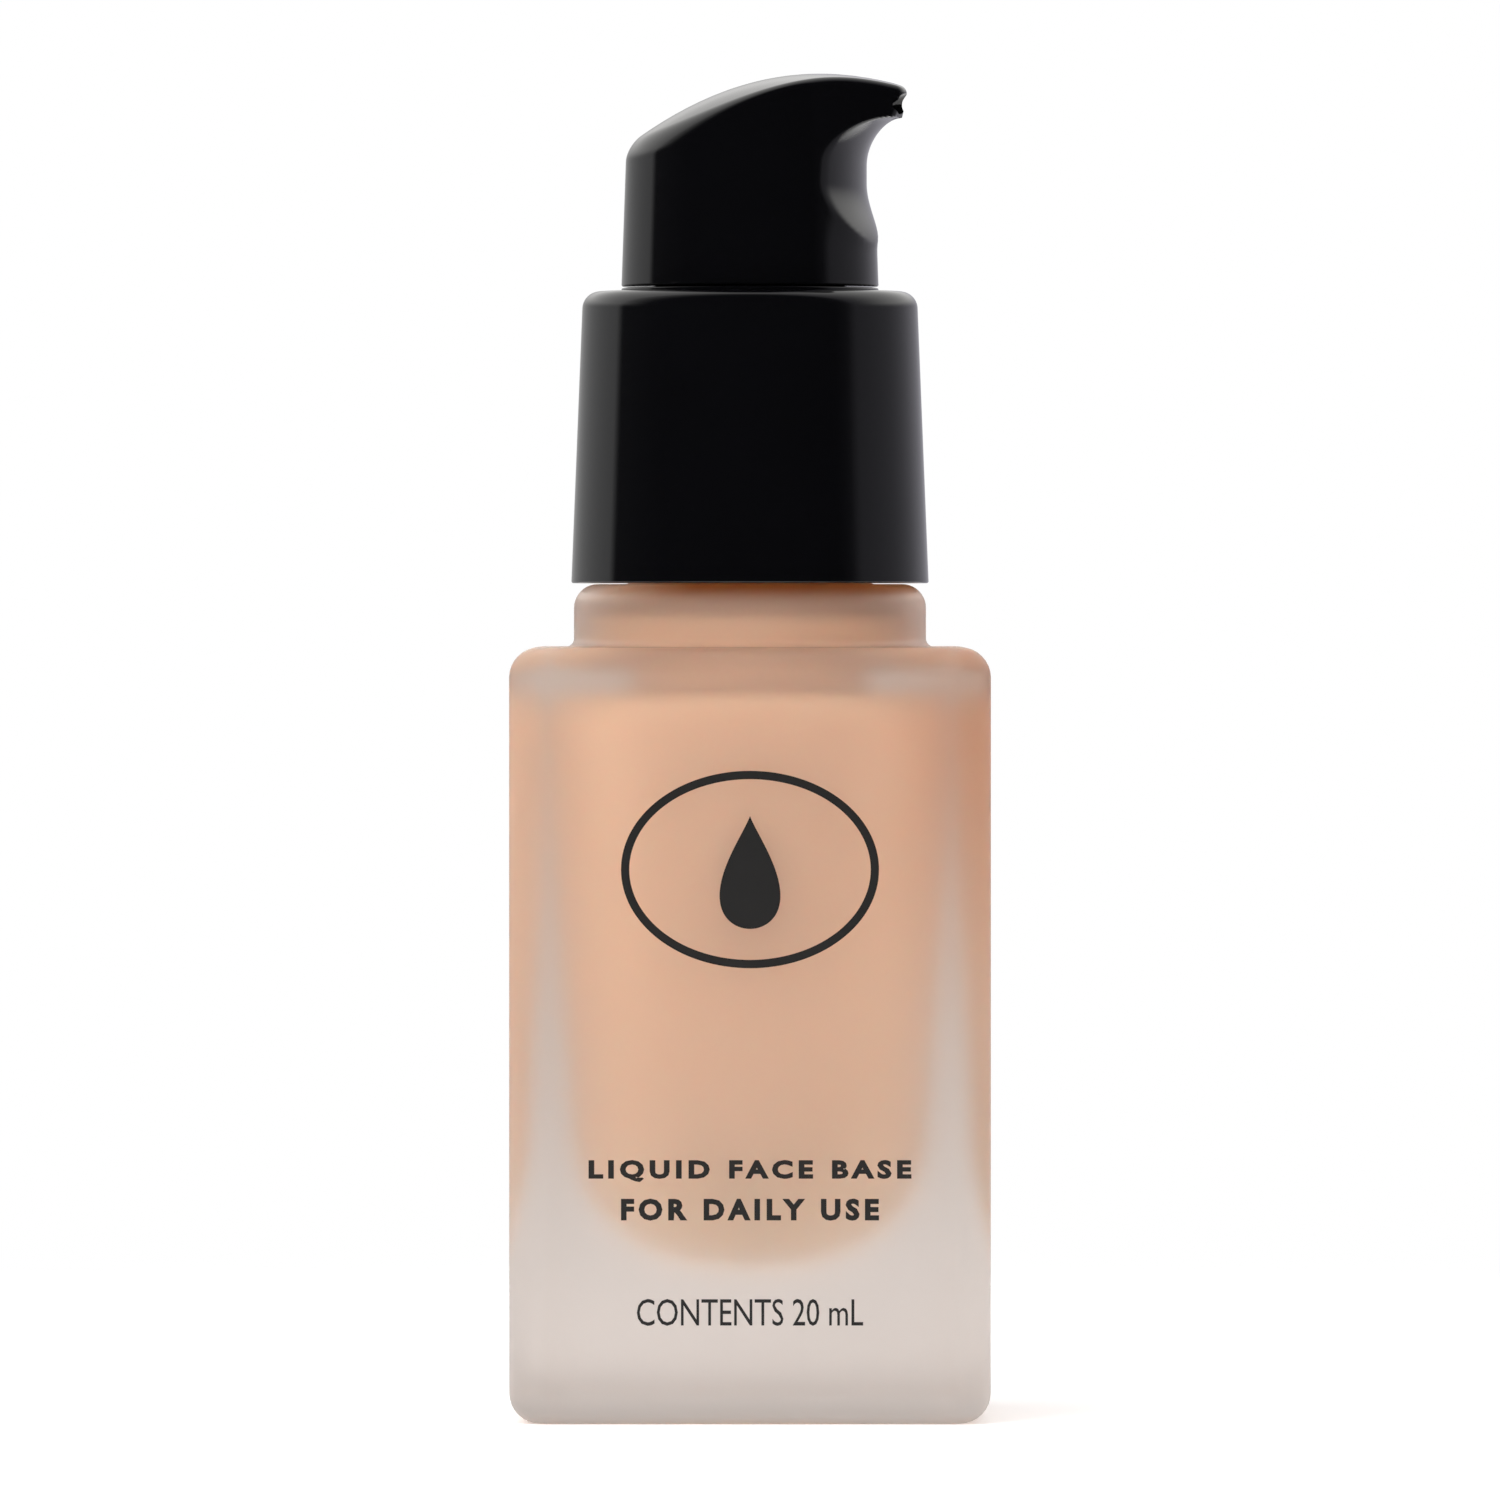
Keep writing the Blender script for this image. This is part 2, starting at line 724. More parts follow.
@dataclass
class Print:
    """The front's print: an emblem and three lines of plain words. Sizes in mm."""

    front: float = -17.5
    proud: float = 0.03
    depth: float = 0.05
    emblem_height: float = 40.3
    emblem_half_width: float = 9.35
    emblem_half_height: float = 7.15
    emblem_line: float = 0.6
    drop_length: float = 8.2
    drop_width: float = 5.0
    drop_swell: float = 1.62
    drop_lower: float = 0.2
    capital_share: float = 0.7

    def plate(self, outline: np.ndarray, height: float) -> Skin:
        """A thin flat plate on the front face.

        Args:
            outline: Its edge as x and z from its middle, n x 2, counter-clockwise from the front.
            height: Height of its middle.

        Returns:
            A closed skin with rows back rim, front rim.
        """
        x, z = outline[:, 0], outline[:, 1] + height
        outer, inner = self.front - self.proud, self.front - self.proud + self.depth
        rows = [np.stack([x, np.full_like(x, depth), z], -1) for depth in (inner, outer)]
        return Skin(np.stack(rows), Ends.POLES)

    def hoop(self, outer: np.ndarray, inner: np.ndarray, height: float) -> Skin:
        """A thin flat band between two outlines on the front face.

        Args:
            outer: Outer edge as x and z, n x 2.
            inner: Inner edge, n x 2.
            height: Height of its middle.

        Returns:
            A closed skin with rows inner back, outer back, outer front, inner front.
        """
        near, far = self.front - self.proud, self.front - self.proud + self.depth
        rows = [np.stack([edge[:, 0], np.full(len(edge), depth), edge[:, 1] + height], -1)
                for edge, depth in ((inner, far), (outer, far), (outer, near), (inner, near))]
        return Skin(np.stack(rows), Ends.LOOP)

    def emblem(self) -> list[bpy.types.Mesh]:
        """An oval line with a drop in it.

        Returns:
            Meshes of the ring and the drop, whose edge is (-w sin t sin^1.4(t/2) / swell, l/2 cos t).
        """
        angle = turn_angles(128)
        circle = np.stack([np.cos(angle), np.sin(angle)], -1)
        half = np.array([self.emblem_half_width, self.emblem_half_height])
        ring = self.hoop(half * circle, (half - self.emblem_line) * circle, self.emblem_height)
        across = -self.drop_width / self.drop_swell * np.sin(angle) * np.sin(angle / 2) ** 1.4
        drop = self.plate(np.stack([across, self.drop_length / 2 * np.cos(angle)], -1),
                          self.emblem_height - self.drop_lower)
        return [ring.mesh("emblem_ring"), drop.mesh("emblem_drop")]

    def line(self, words: str, name: str, middle: float, tall: float, wide: float, bold: float = 0.0,
             spread: float = 1.0) -> bpy.types.Mesh:
        """One line of words as a thin mesh, fitted to a height and a width.

        Args:
            words: The words.
            name: Name of the mesh.
            middle: Height of the line's middle.
            tall: Height of a capital.
            wide: Width of the line.
            bold: Thickening of the strokes, mm.
            spread: Spacing of the letters.

        Returns:
            The mesh, standing on the front face.
        """
        curve = bpy.data.curves.new(name, "FONT")
        curve.body = words
        curve.size = tall * MM / self.capital_share
        curve.offset = bold * MM
        curve.space_character = spread
        curve.resolution_u = 3
        curve.extrude = self.depth / 2 * MM
        holder = bpy.data.objects.new(name, curve)
        bpy.context.scene.collection.objects.link(holder)
        bpy.context.view_layer.update()
        graph = bpy.context.evaluated_depsgraph_get()
        made = bpy.data.meshes.new_from_object(holder.evaluated_get(graph))
        bpy.data.objects.remove(holder)
        count = len(made.vertices)
        flat = np.zeros(count * 3, np.float32)
        made.vertices.foreach_get("co", flat)
        flat = flat.reshape(-1, 3) / MM
        low, high = flat.min(0), flat.max(0)
        scale = np.array([wide, tall]) / (high - low)[:2]
        x = (flat[:, 0] - (low[0] + high[0]) / 2) * scale[0]
        z = (flat[:, 1] - (low[1] + high[1]) / 2) * scale[1] + middle
        y = self.front - self.proud + self.depth / 2 - flat[:, 2]
        made.vertices.foreach_set("co", (np.stack([x, y, z], -1) * MM).astype(np.float32).ravel())
        made.name = name
        made.update()
        return made

    def build(self) -> None:
        """Places the emblem and the words."""
        made = self.emblem() + [
            self.line("LIQUID FACE BASE", "print_title", 18.45, 1.6, 23.4, bold=0.11, spread=1.36),
            self.line("FOR DAILY USE", "print_subtitle", 15.65, 1.6, 18.7, bold=0.11, spread=1.36),
            self.line("CONTENTS 20 mL", "print_contents", 8.2, 1.95, 16.4, spread=0.98)]
        for mesh in made:
            place(mesh, CERAMIC_INK, Body.BOTTLE, Slot.INK)


# ---- Closure -----------------------------------------------------------------------------------


@dataclass
class Closure:
    """The screw cap and the glossy collar over it. Sizes in mm."""

    hem: float = 61.06
    top: float = 82.5
    deck_radius: float = 12.59
    deck_top: float = 74.7
    taper: float = 0.04
    wall: float = 1.0
    deck: float = 1.2
    edge: float = 1.7
    opening: float = 9.6
    opening_chamfer: float = 0.3
    guide_wall: float = 0.8
    guide_bottom: float = 77.5
    wall_corner: float = 0.4
    wall_corner_bottom: float = 75.7
    cap_bottom: float = 61.8
    cap_bore: float = 9.9
    cap_wall: float = 11.0
    cap_rib: float = 11.44
    cap_deck: float = 1.2
    cap_hole: float = 5.7
    ribs: int = 16
    rib_width: float = 1.0
    crest: float = 8.95
    crest_root: float = 1.44
    columns: int = 384

    def radius(self, height: float) -> float:
        """Outer radius of the collar at a height.

        Args:
            height: Height, mm.

        Returns:
            deck radius + taper (deck top - z).
        """
        return self.deck_radius + self.taper * (self.deck_top - height)

    def collar(self) -> Skin:
        """The collar's skin.

        Returns:
            A turned loop: hem, tapered wall, rounded top, opening, guide sleeve and inside.
        """
        under = self.top - self.deck
        profile = filleted([
            (self.radius(self.hem) - self.wall, self.hem, 0.2),
            (self.radius(self.hem), self.hem, 0.15),
            (self.radius(self.top), self.top, self.edge),
            (self.opening, self.top, self.opening_chamfer),
            (self.opening, self.guide_bottom, 0.2),
            (self.opening + self.guide_wall, self.guide_bottom, 0.2),
            (self.opening + self.guide_wall, under, 0.3),
            (self.radius(under) - self.wall - self.wall_corner, under, 0.3),
            (self.radius(self.wall_corner_bottom) - self.wall, self.wall_corner_bottom, 0.3)], steps=12)
        return turned(profile, Ends.LOOP, 256)

    def cap(self) -> Skin:
        """The screw cap's skin, with ribs outside and a thread inside.

        Returns:
            A turned loop whose outer rows are pushed out by ribs, trapezoids in angle, and whose bore
            rows are drawn in by the thread.
        """
        low = self.cap_bottom
        deck_bottom = self.deck_top - self.cap_deck
        bore_z = np.linspace(deck_bottom - 0.3, low + 0.5, 46)
        outer = filleted([
            (self.cap_bore, low, 0.2), (self.cap_wall, low, 0.2), (self.cap_wall, self.deck_top, 0.3),
            (self.cap_hole, self.deck_top, 0.2), (self.cap_hole, deck_bottom, 0.2),
            (self.cap_bore, deck_bottom, 0.0)], steps=4)
        bore = np.stack([np.full_like(bore_z, self.cap_bore), bore_z], -1)
        skin = turned(np.vstack([outer, bore]), Ends.LOOP, self.columns)
        angle = turn_angles(self.columns)[None, :]
        radius = np.hypot(skin.points[..., 0], skin.points[..., 1])
        height = skin.points[..., 2]
        period = 2 * np.pi / self.ribs
        away = np.abs((angle + period / 2) % period - period / 2) * self.cap_rib
        rib = smoothstep(-away, -self.rib_width / 2 - 0.15, -self.rib_width / 2 + 0.1)
        outside = (radius > self.cap_wall - 0.05) & (height < self.deck_top - 0.05)
        inside = np.zeros_like(outside)
        inside[len(outer):] = True
        ridge = Thread(THREAD_START - THREAD_PITCH / 2, root_width=self.crest_root).share(angle, height)
        grown = radius + outside * rib * (self.cap_rib - self.cap_wall)
        grown = grown - inside * ridge * (self.cap_bore - self.crest)
        skin.points = np.stack([grown * np.cos(angle), grown * np.sin(angle), height], -1)
        return skin

    def build(self) -> None:
        """Places both pieces."""
        place(self.cap().mesh("inner_screw_cap"), GLOSS_BLACK, Body.CLOSURE, Slot.BLACK, ["screw_cap"])
        place(self.collar().mesh("gloss_collar"), GLOSS_BLACK, Body.CLOSURE, Slot.BLACK, ["collar_shell"])


# ---- Pump --------------------------------------------------------------------------------------


@dataclass
class PumpEngine:
    """Barrel, neck seal, chaplet, suction tube, ball and spring. Sizes in mm."""

    bore: float = 3.8
    barrel: float = 4.8
    flange: float = 8.75
    flange_bottom: float = 72.4
    flange_top: float = 73.4
    tower_top: float = 75.3
    barrel_floor: float = 54.1
    chamber: float = 1.8
    chamber_floor: float = 51.5
    seat: float = 1.0
    seat_depth: float = 2.0
    socket: float = 1.75
    socket_bottom: float = 43.5
    tube: float = 1.6
    tube_wall: float = 0.55
    tube_slant: float = 0.7265
    tube_foot: float = 13.14
    ball: float = 1.5
    ball_height: float = 52.45
    seal_bore: float = 5.1
    seal_bottom: float = 71.3
    seal_top: float = 72.3
    guide_bore: float = 2.45
    guide_sleeve: float = 3.65
    guide_foot: float = 71.2
    guide_disc: float = 6.5
    guide_disc_bottom: float = 75.4
    guide_top: float = 76.4
    wire: float = 0.6
    coil: float = 2.75
    coil_turns: float = 6.5
    coil_bottom: float = 54.5
    coil_top: float = 64.3
    stroke: float = 4.0

    def housing(self) -> Skin:
        """The barrel with its flange, ball chamber and tube socket.

        Returns:
            A turned loop.
        """
        socket_top = self.chamber_floor - self.seat_depth
        return turned(filleted([
            (self.socket, self.socket_bottom, 0.2),
            (self.socket + 0.9, self.socket_bottom, 0.25),
            (self.socket + 0.9, socket_top, 0.3),
            (self.chamber + 1, self.chamber_floor, 0.3),
            (self.chamber + 1, self.barrel_floor - 1.2, 0.3),
            (self.barrel, self.barrel_floor + 0.6, 0.5),
            (self.barrel, self.flange_bottom, 0.3),
            (self.flange, self.flange_bottom, 0.15),
            (self.flange, self.flange_top, 0.25),
            (self.barrel, self.flange_top, 0.25),
            (self.barrel, self.tower_top, 0.2),
            (self.bore, self.tower_top, 0.2),
            (self.bore, self.barrel_floor, 0.2),
            (self.chamber, self.barrel_floor, 0.1),
            (self.chamber, self.chamber_floor, 0.05),
            (self.seat, self.chamber_floor - 1, 0.05),
            (self.seat, socket_top, 0.05),
            (self.socket, socket_top, 0.05)], steps=4), Ends.LOOP)

    def seal(self) -> Skin:
        """The flat ring between the glass and the flange.

        Returns:
            A turned loop.
        """
        return turned(filleted([
            (self.seal_bore, self.seal_bottom, 0.15), (self.flange, self.seal_bottom, 0.3),
            (self.flange, self.seal_top, 0.3), (self.seal_bore, self.seal_top, 0.15)], 4), Ends.LOOP)

    def chaplet(self) -> Skin:
        """The guide ring in the barrel's mouth.

        Returns:
            A turned loop of a sleeve with a disc on top.
        """
        return turned(filleted([
            (self.guide_bore, self.guide_foot, 0.1), (self.guide_sleeve, self.guide_foot, 0.15),
            (self.guide_sleeve, self.guide_disc_bottom, 0.2),
            (self.guide_disc, self.guide_disc_bottom, 0.2), (self.guide_disc, self.guide_top, 0.3),
            (self.guide_bore, self.guide_top, 0.25)], 4), Ends.LOOP)

    def suction_tube(self) -> Skin:
        """The tube, cut on a slant at its foot.

        Returns:
            A turned loop whose foot is raised to z = foot - slant x.
        """
        top = self.chamber_floor - self.seat_depth - 0.1
        inner = self.tube - self.tube_wall
        shares = np.linspace(0, 1, 8)
        up = np.stack([np.full_like(shares, self.tube), shares], -1)
        down = np.stack([np.full_like(shares, inner), shares[::-1]], -1)
        skin = turned(np.vstack([up, down]), Ends.LOOP, 64)
        foot = self.tube_foot - self.tube_slant * skin.points[..., 0]
        skin.points[..., 2] = foot + (top - foot) * skin.points[..., 2]
        return skin

    def spring(self) -> Skin:
        """The return spring.

        Returns:
            Round wire on (R cos a, R sin a, z), whose rise eases off in the first and last turns.
        """
        share = np.linspace(0, 1, 400)
        angle = 2 * np.pi * self.coil_turns * share
        flat = 0.5 / self.coil_turns
        rise = np.clip((share - flat) / (1 - 2 * flat), 0, 1)
        height = self.coil_bottom + (self.coil_top - self.coil_bottom) * (0.85 * rise + 0.15 * share)
        path = np.stack([self.coil * np.cos(angle), self.coil * np.sin(angle), height], -1)
        return carried(path, self.wire)

    def build(self) -> None:
        """Places the engine's pieces."""
        place(self.housing().mesh("pump_barrel"), NATURAL_PP, Body.PUMP, Slot.NATURAL, ["pump_housing"])
        place(self.seal().mesh("neck_seal"), FOAM_PE, Body.PUMP, Slot.FOAM, ["neck_gasket"])
        place(self.chaplet().mesh("barrel_chaplet"), NATURAL_PP, Body.PUMP, Slot.NATURAL, ["chaplet"])
        place(self.suction_tube().mesh("suction_tube"), TUBE_PE, Body.PUMP, Slot.CLEAR, ["dip_tube"])
        wire = place(self.spring().mesh("coil_spring"), STEEL, Body.PUMP, Slot.STEEL, ["return_spring"])
        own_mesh(wire)
        ball = turned(arc((0, self.ball_height), self.ball, -88, 88, 28), Ends.POLES, 48)
        place(ball.mesh("valve_ball"), STEEL, Body.BALL, Slot.STEEL, ["check_ball"])


@dataclass
class StemGroup:
    """The two stems and the piston that they drive. Sizes in mm."""

    stem: float = 2.3
    stem_bore: float = 1.25
    stem_top: float = 84.45
    stop: float = 3.0
    stop_bottom: float = 70.1
    stop_top: float = 71.1
    foot: float = 2.9
    foot_bottom: float = 64.7
    foot_top: float = 65.7
    pin: float = 1.45
    pin_tip: float = 1.15
    pin_bottom: float = 62.3
    pin_lead: float = 0.5
    shank: float = 1.6
    shank_top: float = 70.0
    spigot: float = 1.175
    spigot_top: float = 73.3
    channel: float = 0.6
    channel_floor: float = 65.8
    axis: float = 0.01
    piston_bottom: float = 65.8
    piston_top: float = 69.2
    lip: float = 3.74
    waist: float = 3.1
    groove: float = 2.7
    piston_bore: float = 1.75

    def piston(self) -> Skin:
        """The piston with a sealing lip at each end.

        Returns:
            A turned loop.
        """
        low, high = self.piston_bottom, self.piston_top
        return turned(filleted([
            (self.piston_bore, low, 0.1), (self.groove, low, 0.1), (self.groove, low + 0.8, 0.1),
            (self.lip - 0.3, low, 0.08), (self.lip, low + 0.2, 0.1), (self.lip, low + 0.7, 0.2),
            (self.waist, low + 1.5, 0.3), (self.waist, high - 1.5, 0.3), (self.lip, high - 0.7, 0.2),
            (self.lip, high - 0.2, 0.1), (self.lip - 0.3, high, 0.08), (self.groove, high - 0.8, 0.1),
            (self.groove, high, 0.1), (self.piston_bore, high, 0.1)], 4), Ends.LOOP, 80)

    def upper(self) -> Skin:
        """The hollow stem with its stop.

        Returns:
            A turned loop.
        """
        return turned(filleted([
            (self.stem_bore, self.stop_bottom, 0.1), (self.stop, self.stop_bottom, 0.2),
            (self.stop, self.stop_top, 0.2), (self.stem, self.stop_top, 0.15),
            (self.stem, self.stem_top, 0.3), (self.stem_bore, self.stem_top, 0.15)], 4), Ends.LOOP, 72)

    def lower(self) -> Skin:
        """The plunger: spring pin, foot, shank, and a spigot with a blind channel.

        Returns:
            A turned skin from the pin's tip round to the channel's floor.
        """
        return turned(filleted([
            (self.axis, self.pin_bottom, 0.0), (self.pin_tip, self.pin_bottom, 0.3),
            (self.pin, self.pin_bottom + self.pin_lead, 0.3), (self.pin, self.foot_bottom, 0.15),
            (self.foot, self.foot_bottom, 0.15), (self.foot, self.foot_top, 0.2),
            (self.shank, self.foot_top, 0.15), (self.shank, self.shank_top, 0.15),
            (self.spigot, self.shank_top, 0.1), (self.spigot, self.spigot_top, 0.1),
            (self.channel, self.spigot_top, 0.08), (self.channel, self.channel_floor, 0.1),
            (self.axis, self.channel_floor, 0.0)], 4), Ends.POLES, 64)

    def build(self) -> None:
        """Places the stems and the piston."""
        place(self.upper().mesh("pump_stem"), NATURAL_PP, Body.STEM, Slot.NATURAL, ["upper_stem"])
        place(self.lower().mesh("pump_plunger"), NATURAL_PP, Body.STEM, Slot.NATURAL, ["lower_stem"])
        place(self.piston().mesh("pump_piston"), SOFT_PE, Body.PISTON, Slot.SOFT, ["piston"])


@dataclass
class PumpHead:
    """The head: its core and its glossy shell with the beak. Sizes in mm."""

    skirt: float = 9.45
    skirt_wall: float = 1.0
    skirt_bottom: float = 79.5
    seam: float = 82.85
    crown: float = 98.45
    draft: float = 0.035
    beak_reach: float = 12.45
    tip: float = 1.3
    face_hollow: float = 1.15
    lip_setback: float = 1.1
    hollow_start: float = 85.25
    hollow_full: float = 90.45
    beak_root: float = 91.75
    lip_bottom: float = 95.2
    scoop_flatness: float = 6.6
    scoop_blend: float = 0.25
    crest: float = 5.4
    roof_fall: float = 0.0252
    crown_drop: float = 2.4
    crown_ease: float = 0.16
    edge_back: float = 1.1
    edge_beak: float = 0.45
    yaw: float = 16.0
    cavity: float = 7.1
    cavity_top: float = 90.65
    fit: float = 0.15
    spigot: float = 2.275
    spigot_top: float = 92.85
    channel: float = 0.9
    stem_socket: float = 2.375
    stem_socket_top: float = 84.55
    column: float = 3.5
    column_bottom: float = 80.7
    neck: float = 3.8
    sleeve_wall: float = 0.9
    sleeve_drop: float = 1.5
    nozzle: float = 0.7
    nozzle_height: float = 96.45
    mouth_width: float = 1.3
    mouth_height: float = 0.72
    mouth_start: float = 0.84
    mouth_full: float = 0.91
    columns: int = 360

    def angles(self) -> np.ndarray:
        """Column angles, closer together at the beak.

        Returns:
            phi - 0.6 sin(phi), densest at 0.
        """
        even = turn_angles(self.columns)
        return even - 0.6 * np.sin(even)

    def face_reach(self, height: np.ndarray) -> np.ndarray:
        """Reach of the front face at a height.

        Args:
            height: Heights, mm.

        Returns:
            Upright skirt drawn in by the hollow, plus a quarter-ellipse beak, plus the lip's lean.
        """
        low = self.skirt - self.face_hollow * smoothstep(height, self.hollow_start, self.hollow_full)
        climb = np.clip((height - self.beak_root) / (self.lip_bottom - self.beak_root), 0, 1)
        beak = (self.beak_reach - self.lip_setback - low) * (1 - np.sqrt(1 - climb ** 2))
        lip = self.lip_setback * np.clip((height - self.lip_bottom) / (self.crown - self.lip_bottom), 0, 1)
        return low + beak + lip

    def plan_reach(self, angle: np.ndarray) -> np.ndarray:
        """Plan of the head: a circle joined to the beak's round tip by straight flanks.

        Args:
            angle: Angles about the axis from the beak.

        Returns:
            R past the tangent angle L, R / cos(a - L) on the flank and the tip's circle at the front.
        """
        tip_x = self.beak_reach - self.tip
        lean = math.acos((self.skirt - self.tip) / tip_x)
        flank_end = math.atan2(self.tip * math.sin(lean), tip_x + self.tip * math.cos(lean))
        side = np.abs(np.arctan2(np.sin(angle), np.cos(angle)))
        flank = self.skirt / np.cos(np.minimum(side, lean) - lean)
        nose = tip_x * np.cos(side) + np.sqrt(np.maximum(self.tip ** 2 - (tip_x * np.sin(side)) ** 2, 0))
        return np.where(side >= lean, self.skirt, np.where(side >= flank_end, flank, nose))

    def reach(self, angle: np.ndarray, height: np.ndarray) -> np.ndarray:
        """Outline radius at an angle and a height.

        Args:
            angle: Angles about the axis from the beak.
            height: Heights, mm.

        Returns:
            The smaller of the skirt's circle as it grows into the plan, less the draft, and a round
            scoop with its nose at the face's reach, blended over a small width.
        """
        scoop_radius = self.skirt + self.scoop_flatness
        blend = np.maximum(self.scoop_blend * smoothstep(height, self.hollow_start, self.hollow_full), 1e-4)
        centre = self.face_reach(height) - scoop_radius
        scoop = centre * np.cos(angle) + np.sqrt(scoop_radius ** 2 - (centre * np.sin(angle)) ** 2)
        flanks = smoothstep(height, self.hollow_start, self.beak_root)
        outline = self.skirt + (self.plan_reach(angle) - self.skirt) * flanks
        outline = outline - self.draft * (height - self.seam)
        mix = np.clip(0.5 + (scoop - outline) / (2 * blend), 0, 1)
        return scoop + (outline - scoop) * mix - blend * mix * (1 - mix)

    def roof(self, x: np.ndarray, y: np.ndarray) -> np.ndarray:
        """Height of the top.

        Args:
            x: Along the beak, mm.
            y: Across it, mm.

        Returns:
            crown - fall (x - crest)^2 - (drop - ease x) (y / R)^2.
        """
        across = (self.crown_drop - self.crown_ease * x) * (y / self.skirt) ** 2
        return self.crown - self.roof_fall * (x - self.crest) ** 2 - across

    def shell(self) -> Skin:
        """The shell's skin, with the beak along +X.

        Returns:
            A skin from the middle of its hollow down to the rim, up the wall, round the top edge and
            over the roof. The top edge is a quarter round whose radius grows from beak to back.
        """
        angle = self.angles()[None, :]
        side = np.abs(np.arctan2(np.sin(angle), np.cos(angle)))
        edge_radius = self.edge_beak + (self.edge_back - self.edge_beak) * smoothstep(side, 0.35, 2.0)
        top = np.full_like(angle, (self.seam + self.crown) / 2)
        for _ in range(14):
            r = self.reach(angle, top)
            top = self.roof(r * np.cos(angle), r * np.sin(angle)) - edge_radius
        cavity = filleted([(0.01, self.spigot_top, 0.0), (self.spigot, self.spigot_top, 0.1),
                           (self.spigot, self.cavity_top, 0.2), (self.cavity - 1, self.cavity_top, 0.3),
                           (self.cavity, self.cavity_top - 1, 0.3), (self.cavity, self.seam, 0.12),
                           (self.skirt + 4, self.seam, 0.0)], 4)[:-1]
        inner_r = cavity[:, :1] + 0 * angle
        inner_z = cavity[:, 1:] + 0 * angle
        rim = np.radians(np.linspace(0, 90, 5))[:, None]
        rim_r = self.reach(angle, self.seam + 0 * angle) - 0.15 * (1 - np.sin(rim))
        rim_z = self.seam + 0.15 * (1 - np.cos(rim)) + 0 * angle
        share = np.concatenate([
            [0.015, 0.03], np.linspace(0.06, 0.6, 26), np.linspace(0.61, 0.97, 52), [0.985, 1.0]])
        wall_z = self.seam + (top - self.seam) * share[:, None]
        wall_r = self.reach(angle, wall_z)
        bend = np.radians(np.linspace(0, 90, 11)[1:])[:, None]
        edge_r = wall_r[-1:] - edge_radius * (1 - np.cos(bend))
        edge_z = self.roof(edge_r * np.cos(angle), edge_r * np.sin(angle))
        edge_z = edge_z - edge_radius * (1 - np.sin(bend))
        inward = np.concatenate([[0.985, 0.96], np.linspace(0.9, 0.1, 9), [0.02]])[:, None]
        roof_r = edge_r[-1:] * inward
        roof_z = self.roof(roof_r * np.cos(angle), roof_r * np.sin(angle))
        radius = np.vstack([inner_r, rim_r, wall_r, edge_r, roof_r])
        height = np.vstack([inner_z, rim_z, wall_z, edge_z, roof_z])
        points = np.stack([radius * np.cos(angle), radius * np.sin(angle), height], -1)
        return Skin(points, Ends.POLES, crease=50.0)

    def bore(self) -> Skin:
        """The nozzle's bore as a cutting shape, with the beak along +X.

        Returns:
            A round rod from the axis to the beak, which flares to an oval at the mouth.
        """
        reach, rise = self.beak_reach, self.nozzle_height - self.spigot_top
        along = np.hstack([-0.05, 0.5, np.linspace(self.mouth_start, self.mouth_full, 5), 1.2])[:, None]
        flare = smoothstep(along, self.mouth_start, self.mouth_full)
        half_wide = self.nozzle + (self.mouth_width - self.nozzle) * flare
        half_tall = self.nozzle + (self.mouth_height - self.nozzle) * flare
        angle = turn_angles(40)[None, :]
        points = np.stack([
            reach * along + 0 * angle,
            half_wide * np.cos(angle),
            self.spigot_top + rise * along + half_tall * np.sin(angle)], -1)
        return Skin(points, Ends.POLES)

    def turned_head(self, mesh: bpy.types.Mesh) -> bpy.types.Mesh:
        """Turns a mesh by the head's yaw about the axis.

        Args:
            mesh: Mesh with the beak along +X.

        Returns:
            The same mesh, turned clockwise seen from above.
        """
        flat = np.zeros(len(mesh.vertices) * 3, np.float32)
        mesh.vertices.foreach_get("co", flat)
        yaw = math.radians(self.yaw)
        cosine, sine = math.cos(yaw), math.sin(yaw)
        spin = np.array([[cosine, -sine, 0], [sine, cosine, 0], [0, 0, 1]])
        mesh.vertices.foreach_set("co", (flat.reshape(-1, 3) @ spin).astype(np.float32).ravel())
        mesh.update()
        return mesh

    def pierced_shell(self) -> bpy.types.Mesh:
        """The shell with its nozzle bored through.

        Returns:
            The finished mesh in the shared frame.
        """
        scene = bpy.context.scene
        whole = bpy.data.objects.new("shell_blank", self.shell().mesh("shell_blank"))
        rod = bpy.data.objects.new("bore_rod", self.bore().mesh("bore_rod"))
        for thing in (whole, rod):
            scene.collection.objects.link(thing)
        cut = whole.modifiers.new("nozzle", "BOOLEAN")
        cut.operation = "DIFFERENCE"
        cut.object = rod
        cut.solver = "EXACT"
        bpy.context.view_layer.update()
        graph = bpy.context.evaluated_depsgraph_get()
        made = bpy.data.meshes.new_from_object(whole.evaluated_get(graph))
        bpy.data.objects.remove(whole)
        bpy.data.objects.remove(rod)
        made.name = "head_shell"
        made.set_sharp_from_angle(angle=math.radians(50))
        return self.turned_head(made)

